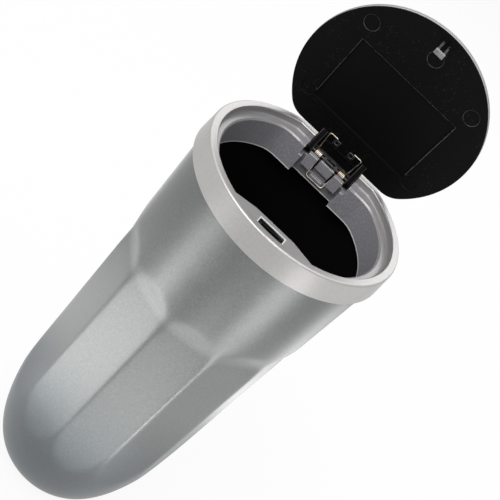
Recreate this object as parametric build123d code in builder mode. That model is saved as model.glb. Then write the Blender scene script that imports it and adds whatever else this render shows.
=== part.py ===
"""Pocket-size car waste bin with a sprung flip lid and a push latch.

Millimetres, +Z up. The origin is the centre of the flat base, the hinge is at +Y
and the latch at -Y. The lid is modelled shut and then turned to its open rest pose.
Heights named depth or drop are measured down from the rim, the collar's top face.
"""

from math import atan2, cos, degrees, hypot, pi, radians, sin, sqrt
from pathlib import Path

from build123d import *

# Overall
RIM_RADIUS = 40.0
RIM_HEIGHT = 179.4

# Collar
BAND_HEIGHT = 9.4
BAND_WALL = 2.1
BAND_FLARE = 0.6
BAND_EDGE = 0.3
RIM_ROUND = 0.7
RIM_FACE = 3.2
RIM_BEVEL = 0.3
RECESS_DEPTH = 3.2
RECESS_FLAT = 4.6
RECESS_CORNER = 1.2
RECESS_COVE = 0.8
DECK_THICKNESS = 1.6
LEDGE = 3.0
BORE_FLAT = 6.6
BORE_CORNER = 9.0
BORE_CHAMFER = 0.6
SKIRT_WALL = 1.8
SKIRT_DROP = 15.3

# Body
SEAM_STEP = 1.7
BODY_WALL = 1.8
FLOOR_THICKNESS = 2.2
FACET_COUNT = 11
FACET_CLOCK = -6.1
FACET_TOP_HEIGHT = 122.8
UPPER_TAPER = 1.3
FACET_END_RADIUS = 6.0
FACET_EDGE_ROUND = 0.12
DOME_HEIGHT = 60.0
LOWER_TAPER = 0.9
BASE_RADIUS = 21.0
INNER_DOME_HEIGHT = 41.6
INNER_BASE_RADIUS = 19.5
NECK_GAP = 0.25
NECK_HEAD_GAP = 0.4
NECK_FOOT_GAP = 1.0

# Lid
LID_OPEN_ANGLE = 82.5
LID_SIDE_GAP = 1.1
LID_SEAT_GAP = 0.3
LID_FLAT = 8.8
LID_CORNER = 9.0
COVER_THICKNESS = 1.7
COVER_ROUND = 1.3
PLATE_THICKNESS = 1.2
PLATE_INSET = 0.1
FLAP_THICKNESS = 0.75
FLAP_REACH = 1.2
FLAP_RISE = 2.15
POCKET_LENGTH = 43.4
POCKET_WIDTH = 29.2
POCKET_DEPTH = 0.7
POCKET_Y = 1.8
SEAT_X = 3.5
SEAT_SETBACK = 2.3
SEAT_SIZE = 2.4
SEAT_HOLE = 1.3
SEAT_HEIGHT = 0.4
MARK_RADIUS = 2.9
MARK_DEPTH = 0.2
MARKS = [(-139.9, 5.6), (-40.1, 5.6), (-88.4, 10.0), (147.6, 6.5), (32.4, 6.5)]

# Hinge
HINGE_SETBACK = 4.5
HINGE_DEPTH = 4.7
PIN_RADIUS = 1.0
PIN_FIT = 0.03
PIN_SEAT = 2.2
EYE_RADIUS = 2.1
ARM_WIDTH = 2.0
ARM_LEAN = 30.0
ARM_ROOT = 3.4
ARM_GAP = 0.4
CHEEK_WIDTH = 2.6
POCKET_FLOOR_DEPTH = 7.4
POCKET_FLOOR = 1.2
POCKET_BACK_GAP = 3.1
NICHE_WALL = 1.5
NICHE_SETBACK = 3.8
BOSS_WIDTH = 4.0
BOSS_TOP_DEPTH = 4.6
BOSS_DROP = 10.2
BOSS_SETBACK = 0.7
BLOCK_HALF = 3.2
BLOCK_SETBACK = 2.4
BLOCK_TOP_DEPTH = 4.7
POST_WIDTH = 1.2
POST_X = 1.9
TAB_HALF = 2.7
TAB_DROP = 11.5
TAB_HEIGHT = 1.1
TAB_REACH = 1.5

# Hinge spring
SPRING_WIRE = 0.5
WIRE_SIDES = 8
COIL_RADIUS = 1.5
COIL_GAP = 0.5
COIL_TURNS = 5
COIL_START = 4.35
COIL_END = 7.1
LOOP_GAP = 1.0
LOOP_DROP = 13.2
LOOP_STANDOFF = 1.1
LOOP_CLEAR = 0.15
LEG_LENGTH = 9.5
LEG_HOOK = 3.6
WIRE_BEND = 0.8

# Push latch
LATCH_SETBACK = 2.3
SLOT_LENGTH = 10.2
SLOT_WIDTH = 6.2
SHELF_REACH = 7.5
SHELF_HALF = 8.0
SHELF_END_X = 18.0
SHELF_END_REACH = 5.1
HOUSING_WALL = 1.2
HOUSING_DROP = 16.5
CASE_FIT = 0.1
CASE_WALL = 0.8
CASE_FLOOR = 1.0
CASE_FLANGE = 1.0
FLANGE_TRIM = 0.5
CASE_TOP_DEPTH = 4.0
CASE_DROP = 19.2
CASE_SHOULDER = 0.5
SLIDER_GAP = 0.3
SLIDER_FLOOR = 1.4
FINGER_THICKNESS = 1.0
FINGER_HOOK = 0.3
FINGER_HOOK_HEIGHT = 0.9
FINGER_WIDTH = 3.2
FINGER_TOP_DEPTH = 6.4
SPIGOT_RADIUS = 1.0
SPIGOT_LENGTH = 1.2
LATCH_WIRE = 0.4
LATCH_COIL_RADIUS = 1.5
LATCH_TURNS = 5
LATCH_SPRING_FIT = 0.05
STRIKER_LENGTH = 7.6
STRIKER_HEAD_HALF = 1.9
STRIKER_HEAD_HEIGHT = 1.2
STRIKER_LEG = 0.7
STRIKER_LEG_X = 0.9
STRIKER_THICKNESS = 1.6
STRIKER_GAP = 0.4
HEAD_GAP = 0.3

# Values that follow from the sizes above
SEAM_Z = RIM_HEIGHT - BAND_HEIGHT
RECESS_Z = RIM_HEIGHT - RECESS_DEPTH
DECK_Z = RECESS_Z - DECK_THICKNESS
SKIRT_Z = RIM_HEIGHT - SKIRT_DROP
BAND_FOOT_RADIUS = RIM_RADIUS + BAND_FLARE
BAND_INNER = RIM_RADIUS - BAND_WALL
RECESS_RADIUS = RIM_RADIUS - RIM_FACE
RECESS_CHORD = RECESS_RADIUS - RECESS_FLAT
BORE_RADIUS = RECESS_RADIUS - LEDGE
BORE_CHORD = BORE_RADIUS - BORE_FLAT
SKIRT_RADIUS = BORE_RADIUS + SKIRT_WALL
SKIRT_CHORD = BORE_CHORD + SKIRT_WALL
BODY_TOP_RADIUS = BAND_FOOT_RADIUS - SEAM_STEP
FACET_TOP_RADIUS = BODY_TOP_RADIUS - UPPER_TAPER
DOME_RADIUS = FACET_TOP_RADIUS - LOWER_TAPER
NECK_OUTER = BAND_INNER - NECK_GAP
NECK_INNER = SKIRT_RADIUS + NECK_GAP
NECK_Z = DECK_Z - NECK_HEAD_GAP
FACET_COS = cos(pi / FACET_COUNT)
HINGE_Y = RECESS_RADIUS - HINGE_SETBACK
HINGE_Z = RIM_HEIGHT - HINGE_DEPTH
LATCH_Y = LATCH_SETBACK - BORE_RADIUS
SHELF_EDGE_Y = SHELF_REACH - BORE_RADIUS
SHELF_END_Y = SHELF_END_REACH - BORE_RADIUS
LID_Z = RECESS_Z + LID_SEAT_GAP
COVER_RADIUS = RECESS_RADIUS - LID_SIDE_GAP
LID_CHORD = COVER_RADIUS - LID_FLAT
SEAT_Y = LID_CHORD - SEAT_SETBACK
ARM_ROOT_Y = LID_CHORD - ARM_ROOT
PLATE_TOP_Z = LID_Z + PLATE_THICKNESS
COVER_TOP_Z = PLATE_TOP_Z + COVER_THICKNESS
PLATE_RADIUS = COVER_RADIUS - PLATE_INSET
PLATE_CHORD = LID_CHORD - PLATE_INSET
BOSS_X = BLOCK_HALF + LOOP_GAP
ARM_X = BOSS_X + BOSS_WIDTH + ARM_GAP
HINGE_HALF = ARM_X + ARM_WIDTH + ARM_GAP
NICHE_HALF = ARM_X + ARM_WIDTH / 2
NICHE_Y = BORE_CHORD + NICHE_SETBACK
POCKET_BACK_Y = HINGE_Y + POCKET_BACK_GAP
FLOOR_TOP_Z = RIM_HEIGHT - POCKET_FLOOR_DEPTH
FLOOR_Z = FLOOR_TOP_Z - POCKET_FLOOR
CHEEK_X = HINGE_HALF + CHEEK_WIDTH
PIN_HALF = HINGE_HALF + PIN_SEAT
COIL_SPACE = COIL_RADIUS + SPRING_WIRE / 2 + COIL_GAP
HOUSING_Z = RIM_HEIGHT - HOUSING_DROP
CASE_TOP_Z = RIM_HEIGHT - CASE_TOP_DEPTH
CASE_Z = RIM_HEIGHT - CASE_DROP
CASE_LENGTH = SLOT_LENGTH - 2 * CASE_FIT
CASE_WIDTH = SLOT_WIDTH - 2 * CASE_FIT
CASE_BORE_LENGTH = CASE_LENGTH - 2 * CASE_WALL
CASE_BORE_WIDTH = CASE_WIDTH - 2 * CASE_WALL
CASE_THROAT = CASE_BORE_LENGTH - 2 * CASE_SHOULDER
STRIKER_Z = LID_Z - STRIKER_LENGTH
SLIDER_TOP_Z = STRIKER_Z - STRIKER_GAP
SLIDER_Z = SLIDER_TOP_Z - SLIDER_FLOOR
SLIDER_LENGTH = CASE_BORE_LENGTH - 2 * SLIDER_GAP
SLIDER_WIDTH = CASE_BORE_WIDTH - 2 * SLIDER_GAP
FINGER_X = STRIKER_HEAD_HALF + HEAD_GAP + FINGER_HOOK


def block(x0, x1, y0, y1, z0, z1, mode=Mode.ADD):
    """Box between two corners, in the part's own axes."""
    with Locations(((x0 + x1) / 2, (y0 + y1) / 2, (z0 + z1) / 2)):
        Box(abs(x1 - x0), abs(y1 - y0), abs(z1 - z0), mode=mode)


def paired(x0, x1, y0, y1, z0, z1, mode=Mode.ADD):
    """The same box on both sides of the middle plane."""
    block(x0, x1, y0, y1, z0, z1, mode)
    block(-x1, -x0, y0, y1, z0, z1, mode)


def d_outline(radius, chord, corner):
    """Circle cut off straight at the hinge side, with rounded corners."""
    with BuildSketch() as outline:
        Circle(radius)
        with Locations((0, chord + radius)):
            Rectangle(4 * radius, 2 * radius, mode=Mode.SUBTRACT)
        fillet(outline.vertices(), corner)
    return outline.sketch


def hinge_rod(radius, half_length, mode=Mode.ADD):
    """Cylinder along the hinge axis."""
    with Locations(Location((0, HINGE_Y, HINGE_Z), (0, 90, 0))):
        Cylinder(radius, 2 * half_length, mode=mode)


def make_facet_cutter():
    """One flat with a rounded upper end, along local +X of the body axis."""
    low = FACET_COS * (DOME_RADIUS + FACET_EDGE_ROUND)
    top = FACET_COS * (FACET_TOP_RADIUS + FACET_EDGE_ROUND)
    lean = (top - low) / (FACET_TOP_HEIGHT - DOME_HEIGHT)
    foot = low - lean * DOME_HEIGHT
    outside = 1.5 * RIM_RADIUS
    half_width = 1.3 * FACET_TOP_RADIUS * sin(pi / FACET_COUNT)
    with BuildPart() as cutter:
        with BuildSketch(Plane.XZ):
            with BuildLine():
                flat = Line((foot, 0), (top, FACET_TOP_HEIGHT))
                bend = JernArc(flat @ 1, flat % 1, FACET_END_RADIUS, -90)
                Polyline(bend @ 1, (outside, (bend @ 1).Y), (outside, 0), (foot, 0))
            make_face()
        extrude(amount=half_width, both=True)
    return cutter.part


def make_body():
    """Moulded body: round above, flats below, domed foot and a neck for the collar."""
    inner_mid = FACET_COS * FACET_TOP_RADIUS - BODY_WALL
    inner_low = FACET_COS * DOME_RADIUS - BODY_WALL
    with BuildPart() as body:
        with BuildSketch(Plane.XZ):
            with BuildLine():
                base = Line((0, 0), (BASE_RADIUS, 0))
                EllipticalCenterArc(
                    (BASE_RADIUS, DOME_HEIGHT),
                    DOME_RADIUS - BASE_RADIUS,
                    DOME_HEIGHT,
                    start_angle=-90,
                    arc_size=90,
                )
                Polyline(
                    (DOME_RADIUS, DOME_HEIGHT),
                    (FACET_TOP_RADIUS, FACET_TOP_HEIGHT),
                    (BODY_TOP_RADIUS, SEAM_Z),
                    (NECK_OUTER, SEAM_Z),
                    (NECK_OUTER, NECK_Z),
                    (NECK_INNER, NECK_Z),
                    (NECK_INNER, HOUSING_Z - NECK_FOOT_GAP),
                    (inner_mid, FACET_TOP_HEIGHT),
                    (inner_low, INNER_DOME_HEIGHT),
                )
                EllipticalCenterArc(
                    (INNER_BASE_RADIUS, INNER_DOME_HEIGHT),
                    inner_low - INNER_BASE_RADIUS,
                    INNER_DOME_HEIGHT - FLOOR_THICKNESS,
                    start_angle=-90,
                    arc_size=90,
                )
                Polyline((INNER_BASE_RADIUS, FLOOR_THICKNESS), (0, FLOOR_THICKNESS), base @ 0)
            make_face()
        revolve(axis=Axis.Z)
        first_flat = -90 + FACET_CLOCK + 180 / FACET_COUNT
        with PolarLocations(0, FACET_COUNT, first_flat):
            add(make_facet_cutter(), mode=Mode.SUBTRACT)
        relief = CHEEK_X + 2 * NECK_GAP
        block(-relief, relief, 0, RIM_RADIUS, SEAM_Z, RIM_HEIGHT, Mode.SUBTRACT)
    return body.part


def make_collar():
    """Collar: outer band, recessed lid seat, inner skirt, latch shelf and hinge seat."""
    with BuildPart() as collar:
        with BuildSketch(Plane.XZ):
            with BuildLine():
                top = Line((0, RIM_HEIGHT), (RIM_RADIUS - RIM_ROUND, RIM_HEIGHT))
                edge = JernArc(top @ 1, (1, 0), RIM_ROUND, -90)
                Polyline(
                    edge @ 1,
                    (BAND_FOOT_RADIUS, SEAM_Z + BAND_EDGE),
                    (BAND_FOOT_RADIUS - BAND_EDGE, SEAM_Z),
                    (BAND_INNER, SEAM_Z),
                    (BAND_INNER, DECK_Z),
                    (0, DECK_Z),
                    top @ 0,
                )
            make_face()
        revolve(axis=Axis.Z)
        with BuildSketch(Plane.XY.offset(SKIRT_Z)):
            add(d_outline(SKIRT_RADIUS, SKIRT_CHORD, BORE_CORNER + SKIRT_WALL))
        extrude(amount=DECK_Z - SKIRT_Z)

        # Recess for the lid and the mouth of the bin
        with BuildSketch(Plane.XY.offset(RECESS_Z)):
            add(d_outline(RECESS_RADIUS, RECESS_CHORD, RECESS_CORNER))
        extrude(amount=RECESS_DEPTH, mode=Mode.SUBTRACT)
        rim_face = collar.faces().filter_by(Plane.XY).sort_by(Axis.Z)[-1]
        chamfer(rim_face.inner_wires()[0].edges(), RIM_BEVEL)
        seat = collar.edges().filter_by_position(Axis.Z, RECESS_Z - 0.01, RECESS_Z + 0.01)
        fillet(seat, RECESS_COVE)
        with BuildSketch(Plane.XY.offset(SKIRT_Z)):
            add(d_outline(BORE_RADIUS, BORE_CHORD, BORE_CORNER))
        extrude(amount=RECESS_Z - SKIRT_Z, mode=Mode.SUBTRACT)
        ledge = collar.faces().filter_by(Plane.XY).filter_by_position(
            Axis.Z, RECESS_Z - 0.01, RECESS_Z + 0.01
        )
        chamfer(ledge.sort_by(SortBy.AREA)[-1].inner_wires()[0].edges(), BORE_CHAMFER)

        # Shelf over the latch, with the housing that holds the latch case
        with BuildSketch(Plane.XY.offset(DECK_Z)):
            with BuildLine():
                Polyline(
                    (-SHELF_END_X, SHELF_END_Y),
                    (-SHELF_HALF, SHELF_EDGE_Y),
                    (SHELF_HALF, SHELF_EDGE_Y),
                    (SHELF_END_X, SHELF_END_Y),
                    (SHELF_END_X, -RIM_RADIUS),
                    (-SHELF_END_X, -RIM_RADIUS),
                    close=True,
                )
            make_face()
            Circle(SKIRT_RADIUS, mode=Mode.INTERSECT)
        extrude(amount=DECK_THICKNESS)
        with BuildSketch(Plane.XY.offset(HOUSING_Z)):
            with Locations((0, LATCH_Y)):
                Rectangle(SLOT_LENGTH + 2 * HOUSING_WALL, SLOT_WIDTH + 2 * HOUSING_WALL)
            Circle(SKIRT_RADIUS, mode=Mode.INTERSECT)
        extrude(amount=DECK_Z - HOUSING_Z)
        with BuildSketch(Plane.XY.offset(HOUSING_Z)):
            with Locations((0, LATCH_Y)):
                Rectangle(SLOT_LENGTH, SLOT_WIDTH)
        extrude(amount=RECESS_Z - HOUSING_Z, mode=Mode.SUBTRACT)

        # Pocket for the lid arms and the open niche under it
        block(
            -HINGE_HALF, HINGE_HALF, 0, POCKET_BACK_Y, FLOOR_TOP_Z, RIM_HEIGHT, Mode.SUBTRACT
        )
        block(-NICHE_HALF, NICHE_HALF, 0, NICHE_Y, SKIRT_Z, FLOOR_TOP_Z, Mode.SUBTRACT)

        # Floor, niche wall, side returns and cheeks of the hinge seat
        floor_half = CHEEK_X
        back = sqrt(BAND_INNER**2 - floor_half**2) + BAND_WALL / 2
        block(-floor_half, floor_half, NICHE_Y, back, FLOOR_Z, FLOOR_TOP_Z)
        return_x = NICHE_HALF + NICHE_WALL
        block(-return_x, return_x, NICHE_Y, NICHE_Y + NICHE_WALL, SKIRT_Z, FLOOR_TOP_Z)
        paired(NICHE_HALF, return_x, BORE_CHORD, NICHE_Y + NICHE_WALL, SKIRT_Z, FLOOR_TOP_Z)
        paired(HINGE_HALF, CHEEK_X, SKIRT_CHORD, POCKET_BACK_Y, FLOOR_Z, RECESS_Z)

        # Two bosses with a cradle for the coils, the middle block and the pin posts
        boss_y = BORE_CHORD + BOSS_SETBACK
        boss_z = RIM_HEIGHT - BOSS_DROP
        boss_top = RIM_HEIGHT - BOSS_TOP_DEPTH
        paired(BOSS_X, BOSS_X + BOSS_WIDTH, boss_y, NICHE_Y + NICHE_WALL, boss_z, boss_top)
        hinge_rod(COIL_SPACE, BOSS_X + BOSS_WIDTH, Mode.SUBTRACT)
        block_y = BORE_CHORD + BLOCK_SETBACK
        block_top = RIM_HEIGHT - BLOCK_TOP_DEPTH
        block_back = HINGE_Y - PIN_RADIUS - PIN_FIT
        block(-BLOCK_HALF, BLOCK_HALF, block_y, NICHE_Y + NICHE_WALL, FLOOR_Z, FLOOR_TOP_Z)
        block(-BLOCK_HALF, BLOCK_HALF, block_y, block_back - POST_WIDTH / 2, FLOOR_Z, block_top)
        post_front = HINGE_Y - EYE_RADIUS
        post_back = HINGE_Y + EYE_RADIUS
        paired(POST_X, POST_X + POST_WIDTH, post_front, post_back, FLOOR_Z, HINGE_Z)
        for side in (-1, 1):
            x_mid = side * (POST_X + POST_WIDTH / 2)
            with Locations(Location((x_mid, HINGE_Y, HINGE_Z), (0, 90, 0))):
                Cylinder(EYE_RADIUS, POST_WIDTH)

        # Ways for the spring's loop, the tab inside the loop and the pin hole
        way_x = COIL_START + SPRING_WIRE / 2 + LOOP_CLEAR
        way_y = NICHE_Y - LOOP_CLEAR
        way_back = HINGE_Y + COIL_SPACE
        way_foot = RIM_HEIGHT - TAB_DROP
        paired(BLOCK_HALF, way_x, way_y, way_back, way_foot, HINGE_Z, Mode.SUBTRACT)
        tab_top = RIM_HEIGHT - TAB_DROP
        block(-TAB_HALF, TAB_HALF, NICHE_Y - TAB_REACH, NICHE_Y, tab_top - TAB_HEIGHT, tab_top)
        hinge_rod(PIN_RADIUS + PIN_FIT, PIN_HALF + PIN_FIT, Mode.SUBTRACT)
    return collar.part


def make_hinge_pin():
    """Plain steel pin with broken edges."""
    with BuildPart() as pin:
        hinge_rod(PIN_RADIUS, PIN_HALF)
        chamfer(pin.edges().filter_by(GeomType.CIRCLE), PIN_RADIUS / 5)
    return pin.part


def make_hinge_spring():
    """Double torsion spring: two coils on the pin, a middle loop and two hooked legs."""
    # Where the loop's arm meets the coil: the tangent from the loop's foot
    foot_y = NICHE_Y - LOOP_STANDOFF - HINGE_Y
    foot_z = HINGE_DEPTH - LOOP_DROP
    reach = hypot(foot_y, foot_z)
    tangent = sqrt(reach**2 - COIL_RADIUS**2)
    arm_y = (COIL_RADIUS**2 * foot_y - COIL_RADIUS * tangent * foot_z) / reach**2
    arm_z = (COIL_RADIUS**2 * foot_z + COIL_RADIUS * tangent * foot_y) / reach**2

    # The coil starts there and ends where its leg lies on the lid plate
    start = degrees(atan2(arm_z, arm_y))
    end = 90 - LID_OPEN_ANGLE + 360 * COIL_TURNS
    coil_length = COIL_END - COIL_START
    pitch = 360 * coil_length / (end - start)
    coil_plane = Plane((COIL_START, HINGE_Y, HINGE_Z), x_dir=(0, arm_y, arm_z), z_dir=(1, 0, 0))
    coil = Edge.make_helix(pitch, coil_length, COIL_RADIUS).moved(Location(coil_plane))

    # One run of wire from the loop's middle, up its arm, round the coil and along the leg
    arm_way = coil % 0
    arm_foot = coil @ 0 - arm_way * (tangent / hypot(arm_way.Y, arm_way.Z))
    loop_mid = Vector(0, arm_foot.Y, arm_foot.Z)
    leg_bend = coil @ 1 + (coil % 1) * LEG_LENGTH
    leg_hook = leg_bend + Vector(-LEG_HOOK, 0, 0)
    with BuildPart() as spring:
        with BuildLine() as path:
            FilletPolyline(loop_mid, arm_foot, coil @ 0, radius=WIRE_BEND)
            add(coil)
            FilletPolyline(coil @ 1, leg_bend, leg_hook, radius=WIRE_BEND)
        wire = path.wires()[0]
        with BuildSketch(Plane(loop_mid, z_dir=(1, 0, 0))):
            RegularPolygon(SPRING_WIRE / 2, WIRE_SIDES)
        sweep(path=wire)
        mirror(about=Plane.YZ)
    return spring.part


def turn_open(part):
    """Turn a lid piece from shut to its open rest pose."""
    return part.rotate(Axis((0, HINGE_Y, HINGE_Z), (1, 0, 0)), -LID_OPEN_ANGLE)


def make_lid_cover():
    """Outer lid cover with a rounded edge, lying on the inner plate."""
    with BuildPart() as cover:
        with BuildSketch(Plane.XY.offset(PLATE_TOP_Z)):
            add(d_outline(COVER_RADIUS, LID_CHORD, LID_CORNER))
        extrude(amount=COVER_THICKNESS)
        fillet(cover.faces().sort_by(Axis.Z)[-1].edges(), COVER_ROUND)
    return turn_open(cover.part)


def make_lid_plate():
    """Inner lid plate with pocket, ejector marks, hinge arms, flap, wire seats and striker."""
    with BuildPart() as plate:
        with BuildSketch(Plane.XY.offset(LID_Z)):
            add(d_outline(PLATE_RADIUS, PLATE_CHORD, LID_CORNER))
        extrude(amount=PLATE_THICKNESS)
        with BuildSketch(Plane.XY.offset(LID_Z)):
            with Locations((0, POCKET_Y)):
                Rectangle(POCKET_LENGTH, POCKET_WIDTH)
        extrude(amount=POCKET_DEPTH, mode=Mode.SUBTRACT)
        with BuildSketch(Plane.XY.offset(LID_Z)):
            for angle, setback in MARKS:
                with PolarLocations(PLATE_RADIUS - setback, 1, angle):
                    Circle(MARK_RADIUS)
        extrude(amount=MARK_DEPTH, mode=Mode.SUBTRACT)

        # Hinge arms, each from a rib on the plate to an eye on the pin
        eye_y = EYE_RADIUS * sin(radians(ARM_LEAN))
        eye_z = EYE_RADIUS * cos(radians(ARM_LEAN))
        for side in (-1, 1):
            x_mid = side * (ARM_X + ARM_WIDTH / 2)
            with BuildSketch(Plane.YZ.offset(x_mid)):
                with BuildLine():
                    Polyline(
                        (ARM_ROOT_Y, LID_Z),
                        (PLATE_CHORD, PLATE_TOP_Z),
                        (HINGE_Y + eye_y, HINGE_Z + eye_z),
                        (HINGE_Y, HINGE_Z),
                        (HINGE_Y - eye_y, HINGE_Z - eye_z),
                        close=True,
                    )
                make_face()
                with Locations((HINGE_Y, HINGE_Z)):
                    Circle(EYE_RADIUS)
            extrude(amount=ARM_WIDTH / 2, both=True)
        hinge_rod(PIN_RADIUS + PIN_FIT, PIN_HALF, Mode.SUBTRACT)

        # Flap between the arms, over the coils
        flap_z = HINGE_Z + FLAP_RISE
        flap_end = HINGE_Y - FLAP_REACH
        block(-ARM_X, ARM_X, ARM_ROOT_Y, flap_end, flap_z, flap_z + FLAP_THICKNESS)

        # Small raised frames near the hooked ends of the spring's legs
        for side in (-1, 1):
            with BuildSketch(Plane.XY.offset(LID_Z)):
                with Locations((side * SEAT_X, SEAT_Y)):
                    Rectangle(SEAT_SIZE, SEAT_SIZE)
                    Rectangle(SEAT_HOLE, SEAT_HOLE, mode=Mode.SUBTRACT)
            extrude(amount=-SEAT_HEIGHT)

        # Striker for the latch: two legs and a cross head
        striker_y0 = LATCH_Y - STRIKER_THICKNESS / 2
        striker_y1 = LATCH_Y + STRIKER_THICKNESS / 2
        leg_x1 = STRIKER_LEG_X + STRIKER_LEG
        paired(STRIKER_LEG_X, leg_x1, striker_y0, striker_y1, STRIKER_Z, LID_Z)
        head_top = STRIKER_Z + STRIKER_HEAD_HEIGHT
        block(
            -STRIKER_HEAD_HALF, STRIKER_HEAD_HALF, striker_y0, striker_y1, STRIKER_Z, head_top
        )
    return turn_open(plate.part)


def make_latch_case():
    """Latch case: a deep cup with a flange under the housing and a narrowed throat."""
    with BuildPart() as case:
        with Locations((0, LATCH_Y, (CASE_Z + CASE_TOP_Z) / 2)):
            Box(CASE_LENGTH, CASE_WIDTH, CASE_TOP_Z - CASE_Z)
        with BuildSketch(Plane.XY.offset(HOUSING_Z - CASE_FLANGE)):
            with Locations((0, LATCH_Y)):
                Rectangle(SLOT_LENGTH + HOUSING_WALL, SLOT_WIDTH + HOUSING_WALL)
            Circle(SKIRT_RADIUS - FLANGE_TRIM, mode=Mode.INTERSECT)
        extrude(amount=CASE_FLANGE)
        shoulder_z = SLIDER_TOP_Z + SLIDER_GAP
        floor_z = CASE_Z + CASE_FLOOR
        with Locations((0, LATCH_Y, (floor_z + shoulder_z) / 2)):
            Box(CASE_BORE_LENGTH, CASE_BORE_WIDTH, shoulder_z - floor_z, mode=Mode.SUBTRACT)
        with Locations((0, LATCH_Y, (floor_z + CASE_TOP_Z) / 2)):
            Box(CASE_THROAT, CASE_BORE_WIDTH, CASE_TOP_Z - floor_z, mode=Mode.SUBTRACT)
    return case.part


def make_latch_slider():
    """Sliding catch: a floor the striker pushes on and two hooked fingers."""
    finger_top = RIM_HEIGHT - FINGER_TOP_DEPTH
    y0 = LATCH_Y - FINGER_WIDTH / 2
    y1 = LATCH_Y + FINGER_WIDTH / 2
    with BuildPart() as slider:
        with Locations((0, LATCH_Y, (SLIDER_Z + SLIDER_TOP_Z) / 2)):
            Box(SLIDER_LENGTH, SLIDER_WIDTH, SLIDER_FLOOR)
        finger_x1 = FINGER_X + FINGER_THICKNESS
        hook_x0 = FINGER_X - FINGER_HOOK
        paired(FINGER_X, finger_x1, y0, y1, SLIDER_TOP_Z, finger_top)
        paired(hook_x0, finger_x1, y0, y1, finger_top - FINGER_HOOK_HEIGHT, finger_top)
        with Locations((0, LATCH_Y, SLIDER_Z - SPIGOT_LENGTH / 2)):
            Cylinder(SPIGOT_RADIUS, SPIGOT_LENGTH)
    return slider.part


def make_latch_spring():
    """Compression spring between the case floor and the slider."""
    foot = CASE_Z + CASE_FLOOR + LATCH_WIRE / 2 + LATCH_SPRING_FIT
    head = SLIDER_Z - LATCH_WIRE / 2 - LATCH_SPRING_FIT
    with BuildPart() as spring:
        with BuildLine(Plane((0, LATCH_Y, foot))) as path:
            Helix((head - foot) / LATCH_TURNS, head - foot, LATCH_COIL_RADIUS)
        with BuildSketch(Plane(path.line @ 0, z_dir=path.line % 0)):
            RegularPolygon(LATCH_WIRE / 2, WIRE_SIDES)
        sweep(is_frenet=True)
    return spring.part


PIECES = {
    "body_shell": make_body,
    "collar": make_collar,
    "hinge_pin": make_hinge_pin,
    "hinge_spring": make_hinge_spring,
    "lid_cover": make_lid_cover,
    "lid_plate": make_lid_plate,
    "latch_case": make_latch_case,
    "latch_slider": make_latch_slider,
    "latch_spring": make_latch_spring,
}


def main():
    """Build every piece and write one STEP file for each."""
    folder = Path("parts")
    folder.mkdir(exist_ok=True)
    for node, make in PIECES.items():
        piece = make()
        piece.label = node
        export_step(piece, str(folder / f"{node}.step"))
        print(node, "solids", len(piece.solids()), "volume", round(piece.volume, 1))


if __name__ == "__main__":
    main()
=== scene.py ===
"""Looks of a small car waste bin with a sprung flip lid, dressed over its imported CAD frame.

The body is drawn again as one smooth surface, because its flats melt into the domed
foot, and the two springs as round wire that follows the joints. Every other CAD solid
keeps its shape and gets a procedural finish. Lengths of the bin and its finishes are
millimetres in the part's own frame, and so are the camera's lens and sensor and the
rim's place in its view. The studio's other lengths are metres, and so are the meshes.
"""

from __future__ import annotations

import logging
import math
from dataclasses import dataclass, field
from enum import Enum
from typing import Any, Mapping, Sequence, Union

import bpy
import numpy as np
from mathutils import Matrix, Vector


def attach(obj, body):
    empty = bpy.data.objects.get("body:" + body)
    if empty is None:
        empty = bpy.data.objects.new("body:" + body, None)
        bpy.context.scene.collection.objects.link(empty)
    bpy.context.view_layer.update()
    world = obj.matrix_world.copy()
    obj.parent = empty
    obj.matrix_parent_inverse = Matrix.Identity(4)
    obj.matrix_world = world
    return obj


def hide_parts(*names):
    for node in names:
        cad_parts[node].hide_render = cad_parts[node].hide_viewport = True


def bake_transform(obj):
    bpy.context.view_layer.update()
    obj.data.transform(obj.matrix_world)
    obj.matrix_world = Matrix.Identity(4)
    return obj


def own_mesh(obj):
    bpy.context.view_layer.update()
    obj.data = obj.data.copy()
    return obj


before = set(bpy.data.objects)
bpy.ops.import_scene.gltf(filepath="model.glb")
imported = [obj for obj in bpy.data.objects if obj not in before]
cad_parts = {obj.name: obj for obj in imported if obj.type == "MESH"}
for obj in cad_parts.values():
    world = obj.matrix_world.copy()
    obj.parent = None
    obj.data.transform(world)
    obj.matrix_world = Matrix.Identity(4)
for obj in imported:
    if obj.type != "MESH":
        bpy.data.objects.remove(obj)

LOG = logging.getLogger("waste_bin")
MM = 0.001

HINGE_Y = 32.3
HINGE_Z = 174.7
OPEN_DEG = 82.5
LATCH_Y = -31.5
RIM_Z = 179.4

RADIAL_BLEND = 0.2
BOX_BLEND = 0.1
BEVEL_SAMPLES = 8
EDGE_COSINES = (0.985, 0.88)
SPECK_BLEND = 0.01
SPECK_RIM = (0.4, 0.2)
MIX_FACTOR, MIX_FIRST, MIX_SECOND, MIX_RESULT = 0, 6, 7, 2
ARC_POINTS = 9
RUN_POINTS = 12

Colour = tuple[float, float, float]
Point = tuple[float, float, float]
Box = tuple[Point, Point]
Number = Union[int, float]


def linear(red: int, green: int, blue: int) -> Colour:
    """Turn an eight-bit display colour into linear light, by the usual display curve.

    Args:
        red, green, blue: display values from 0 to 255.

    Returns:
        The same colour as three linear values from 0 to 1.
    """
    display = np.array((red, green, blue)) / 255.0
    light = np.where(display <= 0.04045, display / 12.92, ((display + 0.055) / 1.055) ** 2.4)
    return tuple(float(channel) for channel in light)


class Socket(Enum):
    """Names of the shader sockets that a finish may vary over a surface."""

    COLOUR = "Base Color"
    ROUGHNESS = "Roughness"
    METALLIC = "Metallic"
    NORMAL = "Normal"


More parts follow.
